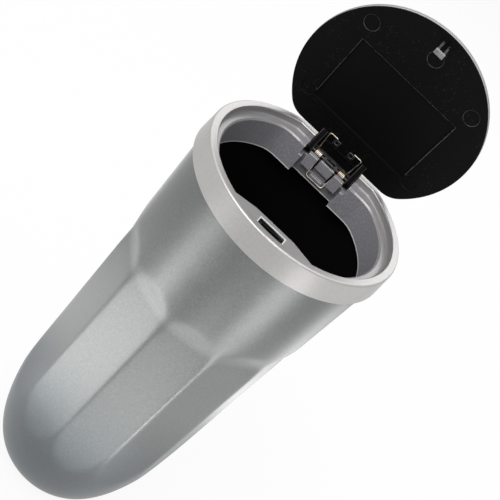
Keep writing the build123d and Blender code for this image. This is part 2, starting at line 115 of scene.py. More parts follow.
class Field:
    """A value that changes over a surface; arithmetic on it adds Math nodes."""

    def __init__(self, graph: "Graph", socket: bpy.types.NodeSocket) -> None:
        """Keep the socket and the graph that it belongs to."""
        self.graph = graph
        self.socket = socket

    def _math(self, operation: str, first: Any, second: Any) -> "Field":
        """Add one Math node and wrap its result."""
        node = self.graph.node("ShaderNodeMath", {"operation": operation}, {0: first, 1: second})
        return Field(self.graph, node.outputs[0])

    def __add__(self, other: Any) -> "Field":
        """Sum."""
        return self._math("ADD", self, other)

    __radd__ = __add__

    def __sub__(self, other: Any) -> "Field":
        """Difference."""
        return self._math("SUBTRACT", self, other)

    def __rsub__(self, other: Any) -> "Field":
        """Difference with a plain number first."""
        return self._math("SUBTRACT", other, self)

    def __mul__(self, other: Any) -> "Field":
        """Product."""
        return self._math("MULTIPLY", self, other)

    __rmul__ = __mul__

    def __truediv__(self, other: Any) -> "Field":
        """Quotient."""
        return self._math("DIVIDE", self, other)

    def __abs__(self) -> "Field":
        """Distance from zero."""
        return self._math("ABSOLUTE", self, 0.0)

    def at_most(self, other: Any) -> "Field":
        """The smaller of two values."""
        return self._math("MINIMUM", self, other)

    def swing(self, weight: float, middle: float = 0.5) -> "Field":
        """How far a noise is from its middle, times a weight."""
        return (self - middle) * weight

    def ramp(self, low: float, high: float) -> "Field":
        """Rise smoothly from 0 to 1 while the value goes from low to high.

        Args:
            low: value at which the result leaves 0.
            high: value at which the result reaches 1; below low for a falling ramp.

        Returns:
            The eased value.
        """
        node = self.graph.node(
            "ShaderNodeMapRange",
            {"interpolation_type": "SMOOTHSTEP"},
            {"Value": self, "From Min": low, "From Max": high},
        )
        return Field(self.graph, node.outputs["Result"])


Input = Union[Number, Sequence[float], Field, bpy.types.NodeSocket]


class Graph:
    """The node tree of one finish, with its surface shader ready made."""

    def __init__(self, name: str) -> None:
        """Start a material with one surface shader.

        Args:
            name: the material's name.
        """
        self.material = bpy.data.materials.new(name)
        self.material.use_nodes = True
        self.tree = self.material.node_tree
        self.tree.nodes.clear()
        self.surface = self.node("ShaderNodeBsdfPrincipled", {}, {})
        self.output = self.node("ShaderNodeOutputMaterial", {}, {})
        self.tree.links.new(self.surface.outputs["BSDF"], self.output.inputs["Surface"])
        self.place = self.node("ShaderNodeTexCoord", {}, {}).outputs["Object"]

    def node(
        self,
        kind: str,
        settings: Mapping[str, Any],
        inputs: Mapping[Union[str, int], Input],
    ) -> bpy.types.Node:
        """Add a node, set its options, then its sockets.

        Args:
            kind: the node's type name.
            settings: options of the node, set first.
            inputs: socket name or number to a value, a Field or a socket.

        Returns:
            The new node.
        """
        node = self.tree.nodes.new(kind)
        for option, value in settings.items():
            setattr(node, option, value)
        for key, value in inputs.items():
            socket = node.inputs[key]
            if isinstance(value, Field):
                self.tree.links.new(value.socket, socket)
            elif isinstance(value, bpy.types.NodeSocket):
                self.tree.links.new(value, socket)
            else:
                socket.default_value = value
        return node

    def noise(self, size_mm: float, detail: float = 2.0, place: Input | None = None) -> Field:
        """Cloudy noise whose lumps are about size_mm across.

        Args:
            size_mm: size of one lump.
            detail: how many finer layers are added.
            place: coordinates to use, the piece's own if none are given.

        Returns:
            The noise, around 0.5.
        """
        node = self.node(
            "ShaderNodeTexNoise",
            {},
            {
                "Vector": self.place if place is None else place,
                "Scale": 1.0 / (size_mm * MM),
                "Detail": detail,
            },
        )
        return Field(self, node.outputs["Fac"])

    def scatter(self, size_mm: float) -> tuple[Field, Field]:
        """Small cells, as paint flakes or specks of dust have.

        Args:
            size_mm: size of one cell.

        Returns:
            The distance from the cell's middle, and one random value for each cell.
        """
        node = self.node(
            "ShaderNodeTexVoronoi",
            {"feature": "F1"},
            {"Vector": self.place, "Scale": 1.0 / (size_mm * MM)},
        )
        split = self.node("ShaderNodeSeparateColor", {}, {"Color": node.outputs["Color"]})
        return Field(self, node.outputs["Distance"]), Field(self, split.outputs["Red"])

    def dots(self, size_mm: float, share: float) -> Field:
        """Scattered round specks.

        Args:
            size_mm: size of the cells, of which a few hold a speck in their middle.
            share: part of the cells that hold one.

        Returns:
            1 in a speck and 0 elsewhere.
        """
        away, chance = self.scatter(size_mm)
        chosen = chance.ramp(1.0 - share - SPECK_BLEND, 1.0 - share)
        return away.ramp(*SPECK_RIM) * chosen

    def along(self, axis: str) -> Field:
        """The piece's own coordinate along X, Y or Z, in millimetres."""
        parts = self.node("ShaderNodeSeparateXYZ", {}, {"Vector": self.place})
        return Field(self, parts.outputs[axis]) / MM

    def inside_of(self, below_mm: float, within_mm: float) -> Field:
        """Mark what lies under a height and within a distance of the bin's axis.

        Args:
            below_mm: the height.
            within_mm: the distance.

        Returns:
            1 there and 0 elsewhere, with a narrow blend.
        """
        x = self.along("X")
        y = self.along("Y")
        away = x * x + y * y
        near = away.ramp((within_mm + RADIAL_BLEND) ** 2, (within_mm - RADIAL_BLEND) ** 2)
        return self.along("Z").ramp(below_mm + RADIAL_BLEND, below_mm - RADIAL_BLEND) * near

    def attribute(self, name: str) -> Field:
        """A value stored on the mesh's points."""
        node = self.node("ShaderNodeAttribute", {"attribute_name": name}, {})
        return Field(self, node.outputs["Fac"])

    def mix(self, factor: Input, first: Input, second: Input) -> bpy.types.NodeSocket:
        """Blend two colours by a factor.

        Args:
            factor: 0 gives the first colour and 1 the second.
            first, second: linear colours or colour sockets.

        Returns:
            The blended colour's socket.
        """
        first = (*first, 1.0) if isinstance(first, tuple) else first
        second = (*second, 1.0) if isinstance(second, tuple) else second
        sockets = {MIX_FACTOR: factor, MIX_FIRST: first, MIX_SECOND: second}
        return self.node("ShaderNodeMix", {"data_type": "RGBA"}, sockets).outputs[MIX_RESULT]

    def bump(
        self, height: Field, depth_mm: float, under: bpy.types.NodeSocket | None = None
    ) -> bpy.types.NodeSocket:
        """Turn a height field into a surface normal.

        Args:
            height: the field, 0 to 1.
            depth_mm: real depth of a full step of the field.
            under: a normal that the bump lies on.

        Returns:
            The normal's socket.
        """
        inputs: dict[Union[str, int], Input] = {
            "Height": height,
            "Distance": depth_mm * MM,
            "Strength": 1.0,
        }
        if under is not None:
            inputs["Normal"] = under
        return self.node("ShaderNodeBump", {}, inputs).outputs["Normal"]

    def soft_edges(self, radius_mm: float) -> bpy.types.NodeSocket:
        """Normals that round the solid's sharp edges by a small radius."""
        settings = {"samples": BEVEL_SAMPLES}
        return self.node("ShaderNodeBevel", settings, {"Radius": radius_mm * MM}).outputs["Normal"]

    def edges(self, rounded: bpy.types.NodeSocket) -> Field:
        """Mark the solid's sharp edges.

        The mark begins where the rounded normal is about 10 degrees off the plain one and
        is full at about 28 degrees, told by the cosine between them.

        Args:
            rounded: the normal that soft_edges gave.

        Returns:
            1 on the edges and 0 on the faces.
        """
        plain = self.node("ShaderNodeNewGeometry", {}, {}).outputs["Normal"]
        settings = {"operation": "DOT_PRODUCT"}
        product = self.node("ShaderNodeVectorMath", settings, {0: plain, 1: rounded})
        return Field(self, product.outputs["Value"]).ramp(*EDGE_COSINES)

    def within(self, box: Box) -> Field:
        """Mark a box.

        Args:
            box: its lowest and highest corners in millimetres.

        Returns:
            1 inside it and 0 outside, with a narrow blend.
        """
        marks = []
        for axis, first, last in zip("XYZ", *box):
            middle = (first + last) / 2.0
            half = (last - first) / 2.0
            off = abs(self.along(axis) - middle)
            marks.append(off.ramp(half + BOX_BLEND, half - BOX_BLEND))
        return marks[0] * marks[1] * marks[2]

    def turned(self, angle_deg: float, y_mm: float, z_mm: float) -> list[Field]:
        """The piece's own coordinates, turned about a line along X.

        Args:
            angle_deg: how far they are turned.
            y_mm, z_mm: where the line lies.

        Returns:
            X, Y and Z in millimetres.
        """
        angle = math.radians(angle_deg)
        moved_y = y_mm - math.cos(angle) * y_mm + math.sin(angle) * z_mm
        moved_z = z_mm - math.sin(angle) * y_mm - math.cos(angle) * z_mm
        turn = self.node(
            "ShaderNodeMapping",
            {},
            {
                "Vector": self.place,
                "Location": (0.0, moved_y * MM, moved_z * MM),
                "Rotation": (angle, 0.0, 0.0),
            },
        )
        parts = self.node("ShaderNodeSeparateXYZ", {}, {"Vector": turn.outputs["Vector"]})
        return [Field(self, parts.outputs[axis]) / MM for axis in "XYZ"]

    def seen(self) -> Field:
        """Tell the rays that show a thing from the rays that light with it.

        Returns:
            1 for what is seen directly, in a reflection or through glass, and else 0.
        """
        path = self.node("ShaderNodeLightPath", {}, {})
        rays = Field(self, path.outputs["Is Camera Ray"])
        rays = rays + Field(self, path.outputs["Is Glossy Ray"])
        rays = rays + Field(self, path.outputs["Is Transmission Ray"])
        return rays.at_most(1.0)

    def glow_to_viewer(self, share: float) -> None:
        """Show white to the camera and in reflections, without lighting anything.

        Args:
            share: how much of what is seen is plain white; the rest is the lit surface.
        """
        white = self.node("ShaderNodeEmission", {}, {"Strength": 1.0})
        both = self.node(
            "ShaderNodeMixShader",
            {},
            {0: self.seen() * share, 1: self.surface.outputs["BSDF"], 2: white.outputs[0]},
        )
        self.tree.links.new(both.outputs[0], self.output.inputs["Surface"])

    def feed(self, socket: Socket, value: Input) -> None:
        """Drive one of the surface's sockets with something that varies."""
        target = self.surface.inputs[socket.value]
        self.tree.links.new(value.socket if isinstance(value, Field) else value, target)

    def fix(self, name: str, value: Any) -> None:
        """Set one of the surface's sockets to a constant."""
        self.surface.inputs[name].default_value = value


class Surroundings(Graph):
    """The node tree of the world around the bin."""

    def __init__(self, name: str, level: float) -> None:
        """Make a white world that is dimmer as a lamp than as a thing seen.

        Args:
            name: the world's name.
            level: its strength as a lamp; where it is seen it has strength 1.
        """
        world = bpy.data.worlds.new(name)
        world.use_nodes = True
        bpy.context.scene.world = world
        self.tree = world.node_tree
        background = self.tree.nodes["Background"]
        background.inputs["Color"].default_value = (1.0, 1.0, 1.0, 1.0)
        strength = self.seen() * (1.0 - level) + level
        self.tree.links.new(strength.socket, background.inputs["Strength"])


@dataclass(frozen=True)
class MetallicPaint:
    """Satin paint full of fine metal flakes, as sprayed on moulded plastic."""

    name: str
    base: Colour
    flake: Colour
    roughness: float
    metallic: float
    flake_mm: float
    flake_share: float
    sparkle: float = 0.3
    cloud_mm: float = 14.0
    cloudiness: float = 0.2
    grain_mm: float = 0.7
    graininess: float = 0.6
    grain_depth_mm: float = 0.004
    tone_start: float = 0.2
    tone_range: tuple[float, float] = (-0.3, 1.0)
    rough_change: float = 0.06
    edge_attribute: str = ""
    # Weight of the painted highlight along the edges that edge_attribute marks.
    edge_highlight_weight: float = 0.35
    cool: Colour = linear(84, 91, 97)
    cool_below: float = 0.0
    cool_full: float = 0.3
    coat: float = 0.15
    coat_roughness: float = 0.35

    def paint(self, graph: Graph) -> tuple[bpy.types.NodeSocket, Field, Field]:
        """Lay the paint: flakes, clouds, a painted highlight along the marked edges, and a cooler
        tone low down.

        Args:
            graph: the finish's node tree.

        Returns:
            The colour, the roughness and the grain.
        """
        _, flakes = graph.scatter(self.flake_mm)
        cloud = graph.noise(self.cloud_mm, detail=3.0)
        grain = graph.noise(self.grain_mm, detail=2.0)
        glints = flakes.ramp(1.0 - self.flake_share, 1.0) * self.sparkle
        tone = glints + cloud.swing(self.cloudiness) + grain.swing(self.graininess)
        tone = tone + self.tone_start
        # Painted highlight: the tone goes lighter where the mesh's edge value is high, along the
        # flats' edges.
        if self.edge_attribute:
            tone = tone + graph.attribute(self.edge_attribute) * self.edge_highlight_weight
        tone = tone.ramp(*self.tone_range)
        colour = graph.mix(tone, self.base, self.flake)
        if self.cool_below:
            low = graph.along("Z").ramp(self.cool_below, self.cool_below * self.cool_full)
            colour = graph.mix(low * (1.0 - tone), colour, self.cool)
        rough = self.roughness + cloud.swing(self.rough_change) + flakes.swing(self.rough_change)
        return colour, rough, grain

    def coated(
        self, graph: Graph, colour: Input, rough: Field, normal: bpy.types.NodeSocket
    ) -> bpy.types.Material:
        """Join the paint to the shader, under a thin clear coat.

        Args:
            graph: the finish's node tree.
            colour, rough, normal: what varies over the surface.

        Returns:
            The finished material.
        """
        graph.feed(Socket.COLOUR, colour)
        graph.feed(Socket.ROUGHNESS, rough)
        graph.feed(Socket.NORMAL, normal)
        graph.fix("Coat Weight", self.coat)
        graph.fix("Coat Roughness", self.coat_roughness)
        return graph.material

    def material(self) -> bpy.types.Material:
        """Make the paint, with its orange peel in the normal.

        Returns:
            The finished material.
        """
        graph = Graph(self.name)
        colour, rough, grain = self.paint(graph)
        graph.fix("Metallic", self.metallic)
        return self.coated(graph, colour, rough, graph.bump(grain, self.grain_depth_mm))


@dataclass(frozen=True)
class CollarPaint(MetallicPaint):
    """The collar's paint, which leaves the skirt and the hinge seat as bare grey plastic."""

    edge_mm: float = 0.25
    # Painted highlight: the pale colour laid on the sharp edges, the skirt's lower edge and round
    # the slot's mouth.
    edge_highlight_colour: Colour = linear(236, 236, 238)
    highlight_on_paint: float = 0.8
    line_dulls: float = 0.6
    bare_line_shines: float = 0.5
    bare_below: float = 175.3
    bare_within: float = 36.0
    bare_dark: Colour = linear(130, 129, 134)
    bare_light: Colour = linear(154, 153, 158)
    bare_roughness: float = 0.3
    mottle_mm: float = 0.45
    mottle_range: tuple[float, float] = (0.3, 0.7)
    recess_below: float = 178.9
    recess_within: float = 37.2
    # Painted shade: a darker, bluer tone laid over the rim's recess, at the share below.
    recess_shade: Colour = linear(122, 121, 129)
    recess_share: float = 0.3
    recess_dulls: float = 0.6
    # Heights below which the skirt's lower edge gets the painted highlight.
    hem_highlight: tuple[float, float] = (164.7, 164.5)
    # Painted shade: near-black laid in the slot and round the hinge posts, less at the slot's one
    # end, which is left lighter as if lit.
    painted_shade: Colour = linear(22, 22, 23)
    slot_light: tuple[float, float] = (0.5, 4.5)
    slot_light_share: float = 0.4
    seat_box: Box = ((-13.6, 26.0, 160.0), (13.6, 35.3, 177.2))
    slot_box: Box = ((-5.2, -34.8, 160.0), (5.2, -28.2, 175.85))
    post_box: Box = ((-3.4, 30.2, 174.8), (3.4, 35.3, 177.2))
    # Box round the slot's mouth that gets the painted highlight.
    slot_highlight_box: Box = ((-5.5, -35.0, 175.8), (5.5, -28.0, 177.0))

    def material(self) -> bpy.types.Material:
        """Make the paint, the bare plastic, painted highlights on the edges, and painted shade in
        the recess, the slot and round the hinge posts.

        Returns:
            The finished material.
        """
        graph = Graph(self.name)
        colour, rough, grain = self.paint(graph)
        under = graph.soft_edges(self.edge_mm)
        line = graph.edges(under)
        bare = graph.inside_of(self.bare_below, self.bare_within)
        bare = (bare + graph.within(self.seat_box)).at_most(1.0)
        recess = graph.inside_of(self.recess_below, self.recess_within)
        mottle = graph.noise(self.mottle_mm, detail=3.0)
        plain = graph.mix(mottle.ramp(*self.mottle_range), self.bare_dark, self.bare_light)
        # Painted shade in the recess.
        colour = graph.mix(recess * self.recess_share, colour, self.recess_shade)
        colour = graph.mix(bare, colour, plain)
        # Painted highlights on the edges, on the skirt's lower edge and round the slot's mouth.
        hem_highlight = graph.along("Z").ramp(*self.hem_highlight)
        strength = self.highlight_on_paint + bare * (1.0 - self.highlight_on_paint)
        painted_highlights = (line * strength + hem_highlight + graph.within(self.slot_highlight_box)).at_most(1.0)
        colour = graph.mix(painted_highlights, colour, self.edge_highlight_colour)
        # Painted shade in the slot, lighter towards its lit end, and round the hinge posts.
        lit_end = graph.along("X").ramp(*self.slot_light) * self.slot_light_share
        slot = graph.within(self.slot_box) * (1.0 - lit_end)
        painted_shade = (slot + graph.within(self.post_box)).at_most(1.0)
        colour = graph.mix(painted_shade, colour, self.painted_shade)
        rough = rough + bare * (1.0 - line) * self.bare_roughness
        shine = (1.0 - bare) * (1.0 - line * self.line_dulls)
        shine = shine + bare * line * self.bare_line_shines
        shine = shine * (1.0 - recess * (1.0 - bare) * self.recess_dulls)
        graph.feed(Socket.METALLIC, shine * (1.0 - painted_shade) * self.metallic)
        relief = graph.bump(grain + bare * mottle, self.grain_depth_mm, under)
        return self.coated(graph, colour, rough, relief)


@dataclass(frozen=True)
class MouldedPlastic:
    """Unpainted moulded plastic with a fine spark-eroded grain."""

    name: str
    base: Colour
    worn: Colour
    roughness: float
    specular: float
    grain_mm: float
    grain_depth_mm: float
    edge_mm: float = 0.2
    graininess: float = 0.3
    dust_mm: float = 9.0
    dust_middle: float = 0.45
    dustiness: float = 0.4
    speck_mm: float = 0.9
    speck_range: tuple[float, float] = (0.985, 1.0)
    speck_dust: tuple[float, float] = (0.5, 0.7)
    speck_weight: float = 0.5
    tone_range: tuple[float, float] = (-0.1, 0.8)
    rough_change: float = 0.2

    def material(self) -> bpy.types.Material:
        """Make the plastic: grain in the normal, faint dust in the colour.

        Returns:
            The finished material.
        """
        graph = Graph(self.name)
        grain = graph.noise(self.grain_mm, detail=3.0)
        dust = graph.noise(self.dust_mm, detail=5.0)
        _, chance = graph.scatter(self.speck_mm)
        specks = chance.ramp(*self.speck_range) * dust.ramp(*self.speck_dust)
        tone = grain.swing(self.graininess) + dust.swing(self.dustiness, self.dust_middle)
        tone = (tone + specks * self.speck_weight).ramp(*self.tone_range)
        relief = graph.bump(grain, self.grain_depth_mm, graph.soft_edges(self.edge_mm))
        graph.feed(Socket.COLOUR, graph.mix(tone, self.base, self.worn))
        graph.feed(Socket.ROUGHNESS, self.roughness + grain.swing(self.rough_change))
        graph.feed(Socket.NORMAL, relief)
        graph.fix("Specular IOR Level", self.specular)
        return graph.material


@dataclass(frozen=True)
class LidPlastic:
    """Grained black of the lid's inner plate, with a painted highlight on its moulded lines and on
    its striker's tip.

    The plate's marks are found in the lid's own lie when it is shut: across is along the
    hinge, along is towards it, and height is up.
    """

    name: str
    base: Colour
    worn: Colour
    # Colour of the painted highlight on the moulded lines.
    line: Colour
    speck: Colour
    # Pale grey laid on the black striker: painted highlight.
    tip: Colour
    rim: Colour
    roughness: float
    specular: float
    face_z: float = 176.5
    pocket_y: float = 1.8
    pocket_half: tuple[float, float] = (21.7, 14.6)
    tip_y: float = -26.0
    tip_z: float = 170.3
    tip_blend: float = 0.5
    leg_range: tuple[float, float] = (-0.3, -1.0)
    leg_share: float = 0.25
    rim_radius: float = 35.6
    rim_inset: tuple[float, float] = (0.12, 0.04)
    rim_rise: tuple[float, float] = (0.05, 0.25)
    grain_mm: float = 0.5
    graininess: float = 0.35
    grain_depth_mm: float = 0.02
    drift_mm: float = 11.0
    drift_middle: float = 0.45
    drift_weight: float = 0.3
    tone_range: tuple[float, float] = (-0.1, 0.7)
    speck_mm: float = 0.36
    speck_share: float = 0.08
    speck_drift: tuple[float, float] = (0.42, 0.62)
    patch_mm: float = 2.2
    line_patch: tuple[float, float] = (0.25, 0.5)
    tip_patch: tuple[float, float] = (0.2, 0.5)
    edge_mm: float = 0.3
    hidden_range: tuple[float, float] = (2.4, 1.4)
    mark_range: tuple[float, float] = (0.4, 1.0)
    mark_along: tuple[float, float] = (8.0, 13.0)
    mark_faint: float = 0.4
    outer_faint: float = 0.5
    rough_change: float = 0.2

    def pocket(self, across: Field, along: Field) -> Field:
        """Mark the plate's pocket.

        Args:
            across, along: place on the plate, in millimetres.

        Returns:
            1 in the pocket and 0 round it.
        """
        half_x, half_y = self.pocket_half
        in_x = abs(across).ramp(half_x + RADIAL_BLEND, half_x - RADIAL_BLEND)
        off_y = abs(along - self.pocket_y)
        return in_x * off_y.ramp(half_y + RADIAL_BLEND, half_y - RADIAL_BLEND)

    def highlight_shows(self, across: Field, along: Field) -> Field:
        """How strongly the painted highlight shows on an edge: not at the pocket's hinge side, and
        less outside it.

        Args:
            across, along: place on the plate, in millimetres.

        Returns:
            1 where the edge's painted highlight shows in full and 0 where it doesn't.
        """
        half_x, half_y = self.pocket_half
        start, full = self.mark_range
        hidden = abs(along - self.pocket_y - half_y).ramp(*self.hidden_range)
        beside = abs(across).ramp(half_x + start, half_x + full)
        ahead = (self.pocket_y - along).ramp(half_y + start, half_y + full)
        marks = beside * along.ramp(*self.mark_along) * self.mark_faint
        faint = marks + (beside + ahead).at_most(1.0) * self.outer_faint
        return (1.0 - hidden) * (1.0 - faint)

    def striker(self, along: Field, height: Field) -> Field:
        """Mark where the striker gets its painted highlight, a little on its leg and more at its
        tip.

        Args:
            along, height: place on the plate, in millimetres.

        Returns:
            1 at the tip, less on the leg and 0 elsewhere.
        """
        leg_start, leg_full = self.leg_range
        leg = height.ramp(self.face_z + leg_start, self.face_z + leg_full)
        tip = height.ramp(self.tip_z + RADIAL_BLEND, self.tip_z - RADIAL_BLEND)
        front = along.ramp(self.tip_y + self.tip_blend, self.tip_y - self.tip_blend)
        return (leg * self.leg_share + tip * (1.0 - self.leg_share)) * front

    def side(self, across: Field, along: Field, height: Field) -> Field:
        """Mark the plate's round side, which has the cover's pale tone.

        Args:
            across, along, height: place on the plate, in millimetres.

        Returns:
            1 on the side and 0 elsewhere.
        """
        away = across * across + along * along
        start, full = (self.rim_radius - inset for inset in self.rim_inset)
        low, high = (self.face_z + rise for rise in self.rim_rise)
        return away.ramp(start**2, full**2) * height.ramp(low, high)

    def material(self) -> bpy.types.Material:
        """Make the plastic: smooth in the pocket, grained and dusty round it, with painted
        highlights on its lines and on the striker's tip.

        Returns:
            The finished material.
        """
        graph = Graph(self.name)
        across, along, height = graph.turned(OPEN_DEG, HINGE_Y, HINGE_Z)
        grained = 1.0 - self.pocket(across, along)
        grain = graph.noise(self.grain_mm, detail=3.0)
        drift = graph.noise(self.drift_mm, detail=4.0)
        patch = graph.noise(self.patch_mm, detail=3.0)
        specks = graph.dots(self.speck_mm, self.speck_share) * drift.ramp(*self.speck_drift)
        tone = grain.swing(self.graininess) * grained
        tone = tone + drift.swing(self.drift_weight, self.drift_middle)
        rounded = graph.soft_edges(self.edge_mm)
        # Painted highlight on the moulded lines, in patches.
        lines = graph.edges(rounded) * patch.ramp(*self.line_patch)
        lines = lines * self.highlight_shows(across, along)
        # Painted highlight on the striker's tip and leg, in patches.
        pale = self.striker(along, height) * patch.ramp(*self.tip_patch)
        colour = graph.mix(tone.ramp(*self.tone_range), self.base, self.worn)
        colour = graph.mix(specks * grained, colour, self.speck)
        colour = graph.mix(lines, colour, self.line)
        colour = graph.mix(pale, colour, self.tip)
        colour = graph.mix(self.side(across, along, height), colour, self.rim)
        rough = self.roughness + grain.swing(self.rough_change) - pale * self.rough_change
        graph.feed(Socket.COLOUR, colour)
        graph.feed(Socket.ROUGHNESS, rough)
        graph.feed(Socket.NORMAL, graph.bump(grain * grained, self.grain_depth_mm, rounded))
        graph.fix("Specular IOR Level", self.specular)
        return graph.material


@dataclass(frozen=True)
class DrawnSteel:
    """Bare drawn steel, whose fine lines run along X where the stretch is uneven."""

    name: str
    base: Colour
    stain: Colour
    roughness: float
    stretch: tuple[float, float, float] = (1.0, 12.0, 12.0)
    line_mm: float = 0.8
    line_depth_mm: float = 0.006
    stain_mm: float = 2.5
    stain_range: tuple[float, float] = (0.4, 0.75)
    rough_change: float = 0.25

    def material(self) -> bpy.types.Material:
        """Make the steel: stretched noise for draw lines, cloudy staining.

        Returns:
            The finished material.
        """
        graph = Graph(self.name)
        drawn = {"Vector": graph.place, "Scale": self.stretch}
        place = graph.node("ShaderNodeMapping", {}, drawn).outputs["Vector"]
        lines = graph.noise(self.line_mm, detail=3.0, place=place)
        cloud = graph.noise(self.stain_mm, detail=3.0).ramp(*self.stain_range)
        graph.feed(Socket.COLOUR, graph.mix(cloud, self.base, self.stain))
        graph.feed(Socket.ROUGHNESS, self.roughness + lines.swing(self.rough_change))
        graph.feed(Socket.NORMAL, graph.bump(lines, self.line_depth_mm))
        graph.fix("Metallic", 1.0)
        return graph.material


class Finish(Enum):
    """Every finish on the bin, by the piece that wears it."""

    BODY = MetallicPaint(
        name="body_satin_metallic",
        base=linear(90, 92, 91),
        flake=linear(120, 122, 121),
        roughness=0.39,
        metallic=0.92,
        flake_mm=0.28,
        flake_share=0.2,
        # The flats' edges get a painted highlight.
        edge_attribute="edge",
        cool_below=90.0,
    )
    SILVER = CollarPaint(
        name="collar_satin_silver",
        base=linear(162, 160, 159),
        flake=linear(186, 183, 183),
        roughness=0.38,
        metallic=0.75,
        flake_mm=0.2,
        flake_share=0.15,
    )
    # The cover wears the collar's silver paint; this darker, duller copy of it is painted shade on
    # the lid's edge.
    COVER = MetallicPaint(
        name="cover_shaded_silver",
        base=linear(142, 140, 140),
        flake=linear(166, 164, 163),
        roughness=0.5,
        metallic=0.35,
        flake_mm=0.2,
        flake_share=0.15,
    )
    # Black moulding of the bin's inside, set darker than black plastic is: partly its own colour,
    # partly painted shade far down in the bin.
    INSIDE = MouldedPlastic(
        name="inside_black",
        base=linear(3, 3, 3),
        worn=linear(10, 10, 10),
        roughness=0.75,
        grain_mm=0.6,
        grain_depth_mm=0.01,
        edge_mm=0.1,
        specular=0.1,
    )
    LID = LidPlastic(
        name="lid_grained_black",
        base=linear(3, 3, 3),
        worn=linear(11, 11, 11),
        line=linear(116, 116, 118),
        speck=linear(72, 72, 74),
        tip=linear(140, 140, 142),
        rim=linear(168, 168, 168),
        roughness=0.66,
        specular=0.1,
    )
    LATCH = MouldedPlastic(
        name="latch_smooth_black",
        base=linear(9, 9, 9),
        worn=linear(26, 26, 27),
        roughness=0.5,
        grain_mm=0.4,
        grain_depth_mm=0.006,
        specular=0.15,
    )
    PIN = DrawnSteel(
        name="pin_dark_steel",
        base=linear(62, 61, 60),
        stain=linear(34, 33, 32),
        roughness=0.4,
    )
    SPRING = DrawnSteel(
        name="spring_wire",
        base=linear(218, 209, 194),
        stain=linear(178, 163, 140),
        roughness=0.4,
        stretch=(1.0, 1.0, 1.0),
    )


def material_of(finish: Finish) -> bpy.types.Material:
    """The finish's material, made the first time that it is asked for."""
    made = bpy.data.materials.get(finish.value.name)
    return made if made else finish.value.material()


def dress(node: str, finish: Finish) -> None:
    """Give a CAD solid its finish.

    Args:
        node: the solid's name in the frame.
        finish: which finish it wears.
    """
    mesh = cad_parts[node].data
    mesh.materials.clear()
    mesh.materials.append(material_of(finish))
    LOG.info("dressed %s as %s", node, finish.value.name)


def grid_faces(rows: int, columns: int) -> np.ndarray:
    """Quads of a grid that closes on itself across its columns.

    Args:
        rows: rings along the profile.
        columns: points on each ring.

    Returns:
        Four point numbers for each quad, row by row.
    """
    row = np.arange(rows - 1)[:, None] * columns
    column = np.arange(columns)[None, :]
    after = (column + 1) % columns
    corners = (row + column, row + after, row + columns + after, row + columns + column)
    return np.stack(corners, axis=-1).reshape(-1, 4)


def put_in_scene(name: str, data: Any) -> bpy.types.Object:
    """Make an object at the origin and link it to the scene.

    Args:
        name: the object's name.
        data: its mesh, lamp or camera.

    Returns:
        The new object.
    """
    made = bpy.data.objects.new(name, data)
    bpy.context.scene.collection.objects.link(made)
    return made


def ring_mesh(name: str, points: np.ndarray) -> bpy.types.Mesh:
    """A closed skin over a stack of rings, with one face on each end.

    Args:
        name: name of the mesh.
        points: places in millimetres, by ring and by column.

    Returns:
        The mesh, smooth but for its two end faces, which come last.
    """
    rows, columns, _ = points.shape
    faces = grid_faces(rows, columns)
    last = (rows - 1) * columns
    caps = [list(range(columns))[::-1], list(range(last, last + columns))]
    mesh = bpy.data.meshes.new(name)
    mesh.from_pydata((points.reshape(-1, 3) * MM).tolist(), [], faces.tolist() + caps)
    smooth = np.arange(len(faces) + len(caps)) < len(faces)
    mesh.polygons.foreach_set("use_smooth", smooth)
    return mesh


def unit(ways: np.ndarray) -> np.ndarray:
    """Vectors scaled to length 1."""
    return ways / np.linalg.norm(ways, axis=-1, keepdims=True)


def bent_line(
    first: np.ndarray, corner: np.ndarray, last: np.ndarray, radius: float
) -> np.ndarray:
    """The middle line of a wire with one bend.

    It runs straight, then on an arc that touches both straights, then straight again. The
    arc's centre lies on the bisector, its radius over the sine of half the angle away.

    Args:
        first, corner, last: points in millimetres.
        radius: radius of the bend.

    Returns:
        Points along the line.
    """
    back = unit(first - corner)
    ahead = unit(last - corner)
    half = math.acos(float(back @ ahead)) / 2.0
    cut = radius / math.tan(half)
    centre = corner + unit(back + ahead) * radius / math.sin(half)
    turn = np.linspace(0.0, math.pi - 2.0 * half, ARC_POINTS)[:, None]
    outward = unit(corner + back * cut - centre)
    arc = centre + radius * (outward * np.cos(turn) - back * np.sin(turn))
    share = np.linspace(0.0, 1.0, RUN_POINTS)[:-1, None]
    before = first + (arc[0] - first) * share
    after = arc[-1] + (last - arc[-1]) * share[1:]
    return np.concatenate([before, arc, after, last[None]])


def wire_mesh(
    name: str, line: np.ndarray, across: np.ndarray, radius: float, sides: int
) -> bpy.types.Object:
    """Carry a circle along a line and close both ends.

    Each ring's first axis is the line's direction crossed with a direction that the line
    never runs along, and its second is square to both.

    Args:
        name: name of the new piece.
        line: points of the wire's middle, in millimetres.
        across: a direction that the line never runs along.
        radius: radius of the wire.
        sides: points on each ring.

    Returns:
        The new piece, in the spring's finish.
    """
    way = unit(np.gradient(line, axis=0))
    right = unit(np.cross(way, across))
    up = np.cross(way, right)
    angle = np.linspace(0.0, 2.0 * math.pi, sides, endpoint=False)[None, :, None]
    ring = right[:, None] * np.cos(angle) + up[:, None] * np.sin(angle)
    mesh = ring_mesh(name, line[:, None] + radius * ring)
    mesh.materials.append(material_of(Finish.SPRING))
    mesh.update()
    LOG.info("built %s with %d faces", name, len(mesh.polygons))
    return put_in_scene(name, mesh)


